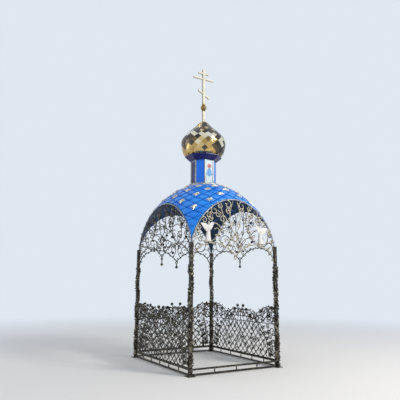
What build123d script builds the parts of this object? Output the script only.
"""Open wrought-iron chapel: four posts, fence panels, scrollwork arches, a sheet-metal vault and a gilt onion dome.

Millimetres, +Z up. The origin is the middle of the plan on the ground, and the entrance side faces -Y.
"""
from build123d import *
import math
import os

os.makedirs("parts", exist_ok=True)

# Plan, between the centres of the posts
plan_width = 2000
plan_depth = 2500

# Posts, their foot plates and the collar below the arches
post_size = 60
post_wall = 3
post_top = 2396
foot_size = 150
foot_thickness = 10
collar_size = 84
collar_height = 40
collar_drop = 60

# Base bars near the ground and the rails above them, joined by short studs
base_bar = 30
rail_bar = 30
rail_top = 131
stud_size = 16
stud_spacing = 400

# Fence panels: a frame of flat bar with a diagonal lattice, and scrolls between two long curves and the posts
fence_bar = 14
fence_depth = 12
fence_top = 830
lattice_pitch = 150
lattice_bar = 11
curve_top_share = 0.56
curve_pull_share = 0.80
curve_foot_share = 0.81
fence_scroll_radii = (84, 88, 104)

# Crests of the fence panels: a hump in the middle and a horn at each post; shares of the half length
crest_bar = 13
crest_depth = 12
crest_foot = 846
hump_top = 1066
hump_reach = 0.48
hump_rise_share = 0.25
horn_top = 1158
horn_start = 0.33
horn_rise_share = 0.5
horn_brace_foot = 0.61
horn_brace_pull = 0.78
horn_brace_top = 0.86
crest_scroll_radius = 76
crest_scroll_shares = (0.25, 0.525)
post_curl_radius = 80
rose_radius = 42
rose_petals = 8
rose_reach = 108
rose_height = 1150

# Small arches under the roof: two to a side, with a ring and a drop where they meet
arcade_bar = 20
bar_depth = 14
arcade_spring = 2040
arcade_crown = 2407
arcade_junction = 2165
crown_share = 0.515
ring_radius = 36
ring_hole = 18
drop_width = 84
drop_bottom = 1985

# Scrollwork over the small arches: places as (share of the half length, height over the crown)
scroll_bar = 15
scroll_eye = 26
seat_height = 15
seat_from = 0.58
seat_to = 0.73
lyre_outer_pull = (0.85, 15)
lyre_outer_top = (0.87, 351)
lyre_inner_pull = (0.46, 100)
lyre_inner_top = (0.33, 256)
lyre_curl_radius = 90
lyre_curl_start = 60
lyre_curl_turn = 235
lyre_arc_pull = (0.40, 400)
lyre_arc_end = (0.57, 385)
heart_pull = (0.06, 235)
heart_side = (0.031, 50)
heart_foot_pull = (0.02, -47)
heart_foot_share = 0.11
heart_curl = (0.222, 48)
heart_curl_radius = 130
post_curl = (0.876, -57)
post_curl_reach = 140
stem_foot = (0.0, 180)
stem_pull = (0.24, 440)
stem_rim_share = 0.02
branch_pull = (0.20, 520)
branch_rim_share = 0.27
upper_curl = (0.30, 470)
upper_curl_radius = 84
middle_curl = (0.10, 376)
middle_curl_radius = 56
filler_curl_radius = 132
rim_curl_shares = (0.13, 0.37, 0.58, 0.75)
rim_curl_radii = (88, 80, 62, 36)

# Roof: a vault over the plan, cut off at the four sides, with a flat rim round each arch
roof_spring = post_top
roof_rise = 1426
roof_power = 1.29
roof_sheet = 5
roof_sides = 40
roof_rings = 9
roof_cap_angle = 8
rim_width = 22

# Drum under the onion dome: eight-sided, with framed panels and a collar at its foot
drum_sides = 8
drum_radius = 284
drum_sheet = 4
drum_bottom = 3830
drum_top = 4360
panel_thickness = 4
panel_margin = 16
strip_stand = 7
foot_ring_radius = 335
foot_ring_height = 60

# Cornice that flares out under the onion dome
cornice_radius = 425
cornice_edge = 4478
cornice_lip = 14

# Onion dome: height above the cornice's edge and radius of each ring of facets
onion_sides = 24
onion_rings = (
    (0, 388),
    (52, 437),
    (110, 468),
    (171, 485),
    (250, 503),
    (327, 509),
    (390, 495),
    (448, 464),
    (505, 420),
    (557, 372),
    (612, 312),
    (666, 249),
    (730, 180),
    (813, 105),
    (850, 62),
)

# Cross: square shaft with a ball, two level bars and a slanted one
shaft_size = 56
cross_top = 6653
ball_height = 5688
ball_radius = 67
ball_sides = 16
ball_rings = 7
ball_last_angle = 75
cross_bar_size = 34
cross_bar_depth = 40
main_bar_height = 6409
main_bar_length = 540
upper_bar_height = 6545
upper_bar_length = 280
slanted_bar_height = 6023
slanted_bar_length = 280
slanted_bar_drop = 154

# Angels that stand on the seats of the entrance side; shares are of their height
angel_height = 388
angel_radius = 40
angel_sides = 8
angel_seat_gap = 0.3
angel_sections = (
    (0, 0, 1),
    (0.05, 0, 0.95),
    (0.45, 8, 0.66),
    (0.70, 14, 0.80),
    (0.78, 16, 0.62),
    (0.82, 17, 0.32),
    (0.87, 18, 0.50),
    (0.94, 18, 0.52),
    (1, 18, 0.2),
)
wing_thickness = 12
wing_root = 14
wing_outline = ((0, 0.66), (60, 0.62), (130, 0.74), (180, 0.75), (110, 0.84), (40, 0.82), (0, 0.76))

# How finely the bent bars are divided: degrees of turn in a scroll, and steps of a bend
turn_step = 48
bend_steps = 5
arch_steps = 6
rim_steps = 24

half_width = plan_width / 2
half_depth = plan_depth / 2
clear_width = half_width - post_size / 2
clear_depth = half_depth - post_size / 2
roof_half_width = half_width - bar_depth / 2
roof_half_depth = half_depth - bar_depth / 2

# Each side: its plane, with X along the side and Y up, its half length between the posts, and the roof's
sides = {
    "front": (Plane((0, -half_depth, 0), (1, 0, 0), (0, -1, 0)), clear_width, roof_half_width),
    "right": (Plane((half_width, 0, 0), (0, 1, 0), (1, 0, 0)), clear_depth, roof_half_depth),
    "back": (Plane((0, half_depth, 0), (-1, 0, 0), (0, 1, 0)), clear_width, roof_half_width),
    "left": (Plane((-half_width, 0, 0), (0, -1, 0), (-1, 0, 0)), clear_depth, roof_half_depth),
}
fenced = ("right", "back", "left")
corners = {
    "post_front_left": (-half_width, -half_depth),
    "post_front_right": (half_width, -half_depth),
    "post_back_right": (half_width, half_depth),
    "post_back_left": (-half_width, half_depth),
}


def finish(piece, name):
    """Label a finished piece and write it."""
    piece.part.label = name
    export_step(piece.part, f"parts/{name}.step")


def ribbon(path, width):
    """Corners of a flat bar of this width along a path of points."""
    left = []
    right = []
    for i, (x, y) in enumerate(path):
        before = path[max(i - 1, 0)]
        after = path[min(i + 1, len(path) - 1)]
        run = math.hypot(after[0] - before[0], after[1] - before[1])
        across = (-(after[1] - before[1]) / run * width / 2, (after[0] - before[0]) / run * width / 2)
        left.append((x + across[0], y + across[1]))
        right.append((x - across[0], y - across[1]))
    return left + right[::-1]


def mirrored(path):
    """The same path on the other side of the middle."""
    return [(-x, y) for x, y in path]


def bars(paths, width):
    """Flat bars along these paths and along their mirror images, joined where they cross."""
    both = paths + [mirrored(path) for path in paths]
    add([Polygon(*ribbon(path, width), align=None, mode=Mode.PRIVATE) for path in both])


def spiral(eye, inner, outer, start, sweep):
    """A scroll round its eye, from the inner radius out to the outer one; angles in degrees."""
    steps = max(2, round(abs(sweep) / turn_step))
    points = []
    for i in range(steps + 1):
        share = i / steps
        radius = inner + (outer - inner) * share
        angle = math.radians(start + sweep * share)
        points.append((eye[0] + radius * math.cos(angle), eye[1] + radius * math.sin(angle)))
    return points


def bend(start, pull, end, steps=bend_steps):
    """A smooth bend from start to end, drawn towards the pull point."""
    points = []
    for i in range(steps + 1):
        t = i / steps
        near, mid, far = (1 - t) ** 2, 2 * t * (1 - t), t * t
        points.append(
            (near * start[0] + mid * pull[0] + far * end[0], near * start[1] + mid * pull[1] + far * end[1])
        )
    return points


def quarter_arch(centre, reach, rise):
    """A quarter of an ellipse, from its springing up to its crown."""
    points = []
    for i in range(arch_steps + 1):
        angle = math.pi / 2 * i / arch_steps
        points.append((centre[0] + reach * math.cos(angle), centre[1] + rise * math.sin(angle)))
    return points


def ring(radius, height, count, middle=(0, 0), stretch=1, turn=0.0):
    """Corners of a level polygon; the stretch draws it out along Y."""
    points = []
    for i in range(count):
        angle = math.radians(turn) + 2 * math.pi * i / count
        points.append((middle[0] + radius * math.cos(angle), middle[1] + radius * stretch * math.sin(angle), height))
    return points


def faceted(rings):
    """A solid with flat facets from ring to ring, closed at the first and the last."""
    facets = [Face(Wire.make_polygon(rings[0])), Face(Wire.make_polygon(rings[-1]))]
    for low, high in zip(rings, rings[1:]):
        for i in range(len(low)):
            facets.append(Face(Wire.make_polygon([low[i - 1], low[i], high[i], high[i - 1]])))
    return Solid(Shell(facets))


# Foot plates
with BuildPart() as foot_plates:
    with Locations(*[(x, y, foot_thickness / 2) for x, y in corners.values()]):
        Box(foot_size, foot_size, foot_thickness)
finish(foot_plates, "foot_plates")

# Posts: square tube from the foot plates to the roof, with a forged collar below the arches
for name, (x, y) in corners.items():
    with BuildPart() as post:
        with BuildSketch(Plane((x, y, foot_thickness))):
            Rectangle(post_size, post_size)
        extrude(amount=post_top - foot_thickness)
        with BuildSketch(Plane((x, y, arcade_spring - collar_drop - collar_height))):
            Rectangle(collar_size, collar_size)
        extrude(amount=collar_height)
        with BuildSketch(Plane((x, y, foot_thickness))):
            Rectangle(post_size - 2 * post_wall, post_size - 2 * post_wall)
        extrude(amount=post_top - foot_thickness, mode=Mode.SUBTRACT)
    finish(post, name)

# Base bars just above the ground
with BuildPart() as base_bars:
    for plane, clear, _ in sides.values():
        with BuildSketch(plane):
            with Locations((0, foot_thickness + base_bar / 2)):
                Rectangle(2 * clear, base_bar)
        extrude(amount=base_bar / 2, both=True)
finish(base_bars, "base_bars")

# Lower rails, each with its short studs down to the base bar
base_top = foot_thickness + base_bar
rail_bottom = rail_top - rail_bar
for side, (plane, clear, _) in sides.items():
    stud_count = 2 * round(clear / stud_spacing) - 1
    stud_places = [(2 * i / (stud_count + 1) - 1) * clear for i in range(1, stud_count + 1)]
    with BuildPart() as rail:
        with BuildSketch(plane):
            with Locations((0, rail_top - rail_bar / 2)):
                Rectangle(2 * clear, rail_bar)
        extrude(amount=rail_bar / 2, both=True)
        with BuildSketch(plane):
            with Locations(*[(place, (base_top + rail_bottom) / 2) for place in stud_places]):
                Rectangle(stud_size, rail_bottom - base_top)
        extrude(amount=stud_size / 2, both=True)
    finish(rail, f"{side}_rail")


def fence_scrolls(clear):
    """Scrolls stacked up the inside of a fence panel's end bar."""
    free_height = fence_top - rail_top - 2 * fence_bar
    spare = free_height - 2 * sum(fence_scroll_radii)
    height = rail_top + fence_bar
    scrolls = []
    for radius in fence_scroll_radii:
        height = height + radius + spare / (len(fence_scroll_radii) + 1)
        scrolls.append(spiral((clear - fence_bar / 2 - radius, height), scroll_eye, radius, -420, 420))
        height = height + radius
    return scrolls


# Fence panels: a flat-bar frame, bars that cross at 45 degrees between two long curves, scrolls at the ends
diagonal = lattice_pitch * math.sqrt(2)
opening = lattice_pitch - lattice_bar
fence_middle = (fence_top + rail_top) / 2
field_top = fence_top - fence_bar
field_foot = rail_top + fence_bar
for side in fenced:
    plane, clear, _ = sides[side]
    columns = math.ceil(2 * clear / diagonal) + 1
    rows = math.ceil((fence_top - rail_top) / diagonal) + 1
    curve = bend(
        (curve_top_share * clear, field_top),
        (curve_pull_share * clear, fence_middle),
        (curve_foot_share * clear, field_foot),
    )
    end = clear - fence_bar
    with BuildSketch() as lattice_openings:
        with Locations((0, fence_middle)):
            with GridLocations(diagonal, diagonal, columns, rows):
                Rectangle(opening, opening, rotation=45)
            with GridLocations(diagonal, diagonal, columns + 1, rows + 1):
                Rectangle(opening, opening, rotation=45)
        Polygon(*curve, *mirrored(curve)[::-1], align=None, mode=Mode.INTERSECT)
    with BuildSketch() as end_openings:
        end_opening = curve + [(end, field_foot), (end, field_top)]
        Polygon(*end_opening, align=None)
        Polygon(*mirrored(end_opening), align=None)
    with BuildSketch() as end_scrolls:
        bars([curve] + fence_scrolls(clear), lattice_bar)
        with Locations((0, fence_middle)):
            Rectangle(2 * clear, fence_top - rail_top, mode=Mode.INTERSECT)
    with BuildPart() as fence:
        with BuildSketch(plane):
            with Locations((0, fence_middle)):
                Rectangle(2 * clear, fence_top - rail_top)
            add(lattice_openings.sketch, mode=Mode.SUBTRACT)
            add(end_openings.sketch, mode=Mode.SUBTRACT)
            add(end_scrolls.sketch)
        extrude(amount=fence_depth / 2, both=True)
    finish(fence, f"{side}_fence")


def rise(low, high, share):
    """Height of a bent bar that leaves its foot steeply and levels off at its top."""
    return low + (high - low) * math.sin(math.pi / 2 * min(max(share, 0), 1))


def crest_paths(clear):
    """Middle lines of the bent bars of half a crest."""
    end = clear - crest_bar / 2
    horn_shares = [horn_start + (1 - horn_start) * i / 9 for i in range(10)]
    horn = [
        (share * end, rise(crest_foot, horn_top, (share - horn_start) / horn_rise_share)) for share in horn_shares
    ]
    hump_shares = [hump_reach * i / 7 for i in range(8)]
    hump = [
        (share * end, rise(crest_foot, hump_top, (hump_reach - share) / hump_rise_share)) for share in hump_shares
    ]
    brace = bend(
        (horn_brace_foot * clear, fence_top),
        (horn_brace_pull * clear, (crest_foot + horn_top) / 2 - crest_scroll_radius),
        (horn_brace_top * clear, horn_top),
    )
    paths = [
        horn,
        hump,
        brace,
        [(end, fence_top), (end, horn_top + crest_bar / 2)],
        [(rose_reach, hump_top), (rose_reach, rose_height)],
        spiral((end - post_curl_radius, fence_top + post_curl_radius), scroll_eye, post_curl_radius, -480, 390),
    ]
    for share in crest_scroll_shares:
        eye = (share * clear, fence_top + crest_scroll_radius)
        paths.append(spiral(eye, scroll_eye, crest_scroll_radius, -480, 390))
    return paths


# Crests: the hump and horns of bent bar, their scrolls, and a pair of roses over the middle
for side in fenced:
    plane, clear, _ = sides[side]
    with BuildPart() as crest:
        with BuildSketch(plane):
            bars(crest_paths(clear), crest_bar)
            with Locations((0, (fence_top + hump_top) / 2)):
                Rectangle(crest_bar, hump_top - fence_top)
            with Locations((-rose_reach, rose_height), (rose_reach, rose_height)):
                RegularPolygon(rose_radius, rose_petals)
            with Locations((0, fence_top + plan_width)):
                Rectangle(2 * clear, 2 * plan_width, mode=Mode.INTERSECT)
        extrude(amount=crest_depth / 2, both=True)
    finish(crest, f"{side}_crest")


def arcade_path(clear):
    """Middle line of a side's two small arches, from post to post."""
    reach = crown_share * clear
    end = clear - arcade_bar / 2
    outer = quarter_arch((reach, arcade_spring), end - reach, arcade_crown - arcade_spring)
    inner = bend((reach, arcade_crown), (reach / 2, arcade_crown), (0, arcade_junction))
    half = outer + inner[1:]
    return mirrored(half) + half[-2::-1]


def rim_line(share, half_span):
    """A point of the roof's cut edge on a side, at the sine of this share of a quarter turn."""
    across = math.sin(share * math.pi / 2)
    return (half_span * across, roof_spring + roof_rise * ((1 - across**2) / 2) ** (roof_power / 2))


def rim_edges(half_span):
    """Outer and inner edge of the rim bar that follows the roof's cut edge."""
    outer = [rim_line(i / rim_steps * 2 - 1, half_span) for i in range(rim_steps + 1)]
    band = ribbon(outer, 2 * rim_width)
    inner = band[: len(outer) - 1 : -1]
    inner[0] = (rim_width - half_span, roof_spring)
    inner[-1] = (half_span - rim_width, roof_spring)
    return outer, inner


def rim_curl(share, radius, half_span, turn):
    """A scroll that hangs against the inside of the rim."""
    here = rim_line(share, half_span)
    ahead = rim_line(share + 0.01, half_span)
    run = math.hypot(ahead[0] - here[0], ahead[1] - here[1])
    inward = ((ahead[1] - here[1]) / run, -(ahead[0] - here[0]) / run)
    drop = rim_width + radius
    eye = (here[0] + inward[0] * drop, here[1] + inward[1] * drop)
    facing = math.degrees(math.atan2(-inward[1], -inward[0]))
    return spiral(eye, scroll_eye, radius + scroll_bar / 2, facing - turn, turn)


def scroll_paths(clear, half_span, filled):
    """Middle lines of the bent bars of half a side's scrollwork."""

    def at(place):
        return (place[0] * clear, arcade_crown + place[1])

    seat_inner = at((seat_from, seat_height))
    seat_outer = at((seat_to, seat_height))
    seat_middle = (seat_from + seat_to) / 2
    lyre_inner = bend(seat_inner, at(lyre_inner_pull), at(lyre_inner_top))
    lyre_touch = lyre_inner[-3]
    lyre_eye = (lyre_touch[0] + lyre_curl_radius / math.sqrt(2), lyre_touch[1] + lyre_curl_radius / math.sqrt(2))
    heart_foot = (heart_foot_share, (arcade_junction - arcade_crown) * (1 - heart_foot_share / crown_share) ** 2)
    paths = [
        [seat_inner, seat_outer],
        bend(seat_outer, at(lyre_outer_pull), at(lyre_outer_top)),
        lyre_inner,
        bend(at(lyre_inner_top), at(lyre_arc_pull), at(lyre_arc_end)),
        spiral(lyre_eye, lyre_curl_radius, lyre_curl_radius, lyre_curl_start, lyre_curl_turn),
        bend(at(lyre_inner_top), at(heart_pull), at(heart_side)),
        bend(at(heart_side), at(heart_foot_pull), at(heart_foot), 4),
        spiral(at(heart_curl), scroll_eye, heart_curl_radius, -400, 385),
        spiral(at(post_curl), scroll_eye, post_curl_reach, -240, 360),
        bend(at(stem_foot), at(stem_pull), rim_line(stem_rim_share, half_span)),
        bend(at(lyre_inner_top), at(branch_pull), rim_line(branch_rim_share, half_span)),
        spiral(at(upper_curl), scroll_eye, upper_curl_radius, -200, 400),
        spiral(at(middle_curl), scroll_eye, middle_curl_radius, 470, -360),
    ]
    for i, (share, radius) in enumerate(zip(rim_curl_shares, rim_curl_radii)):
        turn = 320 if i % 2 else -320
        paths.append(rim_curl(share, radius, half_span, turn))
    if filled:
        filler_eye = at((seat_middle, seat_height + filler_curl_radius))
        paths.append(spiral(filler_eye, scroll_eye, filler_curl_radius, -90 - 420, 420))
    return paths


# Half of the drop's outline under the ring: a bud that swells and comes to a point
ring_height = arcade_junction - ring_radius
drop_top = ring_height - ring_hole
drop_height = drop_top - drop_bottom
drop_half = [
    (0, drop_top),
    (drop_width / 8, drop_top - drop_height / 4),
    (drop_width / 2, drop_top - drop_height * 5 / 8),
    (drop_width / 8, drop_bottom),
    (0, drop_bottom),
]
drop = drop_half + mirrored(drop_half[1:-1])[::-1]

for side, (plane, clear, half_span) in sides.items():
    arcade_line = arcade_path(clear)
    rim_outer, rim_inner = rim_edges(half_span)

    # Rim: a flat bar round the arch of the roof's edge
    with BuildPart() as rim:
        with BuildSketch(plane):
            Polygon(*rim_outer, *rim_inner[::-1], align=None)
        extrude(amount=bar_depth / 2, both=True)
    finish(rim, f"{side}_rim")

    # Small arches with a ring where they meet, and a drop under it on the fenced sides
    with BuildSketch() as arcade_outline:
        Polygon(*ribbon(arcade_line, arcade_bar), align=None)
        with Locations((0, ring_height)):
            RegularPolygon(ring_radius, rose_petals)
            RegularPolygon(ring_hole, rose_petals, mode=Mode.SUBTRACT)
        if side in fenced:
            Polygon(*drop, align=None)
    with BuildPart() as arcade:
        with BuildSketch(plane):
            add(arcade_outline.sketch)
        extrude(amount=bar_depth / 2, both=True)
    finish(arcade, f"{side}_arcade")

    # Scrollwork, kept between the small arches, the posts and the rim
    above_arcade = ribbon(arcade_line, arcade_bar)[: len(arcade_line)]
    field = above_arcade + [(clear, arcade_spring), (clear, roof_spring)]
    field = field + rim_inner[::-1] + [(-clear, roof_spring), (-clear, arcade_spring)]
    with BuildPart() as scrollwork:
        with BuildSketch(plane):
            bars(scroll_paths(clear, half_span, side in fenced), scroll_bar)
            Polygon(*field, align=None, mode=Mode.INTERSECT)
            add(arcade_outline.sketch, mode=Mode.SUBTRACT)
        extrude(amount=bar_depth / 2, both=True)
    finish(scrollwork, f"{side}_scrollwork")


def vault_rings(reach, rise):
    """Rings of the vault from the springing up to its flat cap, drawn out to the depth of the plan."""
    stretch = roof_half_depth / roof_half_width
    rings = []
    for i in range(roof_rings):
        angle = math.radians(90 - (90 - roof_cap_angle) * i / (roof_rings - 1))
        height = roof_spring + rise * max(math.cos(angle), 0) ** roof_power
        rings.append(ring(reach * math.sin(angle), height, roof_sides, stretch=stretch))
    return rings


# Roof: a faceted vault of sheet steel in four parts, each over one side, joined along the diagonals of the plan
roof_reach = roof_half_width * math.sqrt(2)
roof_corners = [
    (-roof_half_width, -roof_half_depth),
    (roof_half_width, -roof_half_depth),
    (roof_half_width, roof_half_depth),
    (-roof_half_width, roof_half_depth),
]
roof_solid = faceted(vault_rings(roof_reach, roof_rise))
roof_room = faceted(vault_rings(roof_reach - roof_sheet, roof_rise - roof_sheet))
for i, side in enumerate(sides):
    with BuildPart() as roof:
        add(roof_solid)
        add(roof_room, mode=Mode.SUBTRACT)
        with BuildSketch(Plane.XY.offset(roof_spring)):
            Polygon((0, 0), roof_corners[i], roof_corners[(i + 1) % 4], align=None)
        extrude(amount=roof_rise, mode=Mode.INTERSECT)
    finish(roof, f"roof_{side}")


def octagon(radius, mode=Mode.ADD):
    """A regular polygon with flats that face the sides of the plan."""
    RegularPolygon(radius, drum_sides, rotation=180 / drum_sides, mode=mode)


# Ring round the foot of the drum, shaped below to the roof it stands on
foot_ring_angle = math.asin(foot_ring_radius / roof_reach)
foot_ring_bottom = roof_spring + roof_rise * math.cos(foot_ring_angle) ** roof_power - foot_ring_height
with BuildPart() as drum_collar:
    with BuildSketch(Plane.XY.offset(foot_ring_bottom)):
        octagon(foot_ring_radius)
        octagon(drum_radius - drum_sheet, Mode.SUBTRACT)
    extrude(amount=drum_bottom - foot_ring_bottom)
    add(roof_solid, mode=Mode.SUBTRACT)
finish(drum_collar, "drum_collar")

# Drum: an eight-sided tube of sheet steel
drum_height = drum_top - drum_bottom
with BuildPart() as drum_wall:
    with BuildSketch(Plane.XY.offset(drum_bottom)):
        octagon(drum_radius - drum_sheet)
        octagon(drum_radius - 2 * drum_sheet, Mode.SUBTRACT)
    extrude(amount=drum_height)
finish(drum_wall, "drum_wall")

# Panels on the drum: plain white ones face the sides of the plan, blue ones its corners
drum_side = 2 * drum_radius * math.sin(math.pi / drum_sides)
drum_flat = (drum_radius - drum_sheet) * math.cos(math.pi / drum_sides)
for name, first in (("white_panels", 0), ("blue_panels", 45)):
    with BuildPart() as panels:
        for turn in range(4):
            facing = math.radians(first + 90 * turn)
            outward = (math.cos(facing), math.sin(facing), 0)
            along = (-math.sin(facing), math.cos(facing), 0)
            place = (drum_flat * outward[0], drum_flat * outward[1], drum_bottom + drum_height / 2)
            with BuildSketch(Plane(place, along, outward)):
                Rectangle(drum_side - 2 * panel_margin, drum_height)
        extrude(amount=panel_thickness)
    finish(panels, name)

# Bright strips that cover the corners of the drum
with BuildPart() as corner_strips:
    with BuildSketch(Plane.XY.offset(drum_bottom)):
        octagon(drum_radius + strip_stand)
        octagon(drum_radius - drum_sheet, Mode.SUBTRACT)
        with PolarLocations(drum_flat, drum_sides):
            Rectangle(drum_side / 2, drum_side - 2 * panel_margin, mode=Mode.SUBTRACT)
    extrude(amount=drum_height)
finish(corner_strips, "corner_strips")

# Cornice: flares from the drum out to its edge and closes the foot of the onion dome
flat_turn = 180 / drum_sides
with BuildPart() as cornice:
    cornice_rings = [
        ring(drum_radius + strip_stand, drum_top, drum_sides, turn=flat_turn),
        ring(cornice_radius, cornice_edge - cornice_lip, drum_sides, turn=flat_turn),
        ring(cornice_radius, cornice_edge, drum_sides, turn=flat_turn),
    ]
    add(faceted(cornice_rings))
finish(cornice, "cornice")

# Onion dome: rings of flat facets, drawn in at the foot and pulled up to a point
with BuildPart() as onion_dome:
    add(faceted([ring(radius, cornice_edge + height, onion_sides) for height, radius in onion_rings]))
finish(onion_dome, "onion_dome")

# Cross: a square shaft that carries the ball, and three bars welded to its sides
onion_top = cornice_edge + onion_rings[-1][0]
ball_sections = []
for i in range(ball_rings):
    angle = math.radians(ball_last_angle * (2 * i / (ball_rings - 1) - 1))
    ball_sections.append(ring(ball_radius * math.cos(angle), ball_height + ball_radius * math.sin(angle), ball_sides))
with BuildPart() as cross_shaft:
    with BuildSketch(Plane.XY.offset(onion_top)):
        Rectangle(shaft_size, shaft_size)
    extrude(amount=cross_top - onion_top)
    add(faceted(ball_sections))
finish(cross_shaft, "cross_shaft")

bars_of_cross = {
    "main_bar": (main_bar_height, main_bar_length, 0),
    "upper_bar": (upper_bar_height, upper_bar_length, 0),
    "slanted_bar": (slanted_bar_height, slanted_bar_length, slanted_bar_drop),
}
for name, (height, length, drop_across) in bars_of_cross.items():
    half_run = length / 2
    half_size = cross_bar_size / 2
    high_end = height + drop_across / 2
    low_end = height - drop_across / 2
    with BuildPart() as cross_bar:
        with BuildSketch(Plane.XZ):
            Polygon(
                (-half_run, high_end - half_size),
                (half_run, low_end - half_size),
                (half_run, low_end + half_size),
                (-half_run, high_end + half_size),
                align=None,
            )
            with Locations((0, height)):
                Rectangle(shaft_size, 2 * length, mode=Mode.SUBTRACT)
        extrude(amount=cross_bar_depth / 2, both=True)
    finish(cross_bar, f"cross_{name}")

# Angels: a robed figure with raised wings, eight-sided in section, on the seat of each lyre
angel_foot = arcade_crown + seat_height + scroll_bar / 2 + angel_seat_gap
angel_reach = (seat_from + seat_to) / 2 * clear_width
for name, hand in (("angel_left", -1), ("angel_right", 1)):
    figure = []
    for share, lean, girth in angel_sections:
        middle = (hand * (angel_reach - lean), -half_depth)
        figure.append(ring(angel_radius * girth, angel_foot + share * angel_height, angel_sides, middle))
    shoulder = angel_reach - wing_root
    wing = [(hand * (shoulder + reach), angel_foot + share * angel_height) for reach, share in wing_outline]
    with BuildPart() as angel:
        add(faceted(figure))
        with BuildSketch(sides["front"][0]):
            Polygon(*wing, align=None)
        extrude(amount=wing_thickness / 2, both=True)
    finish(angel, name)
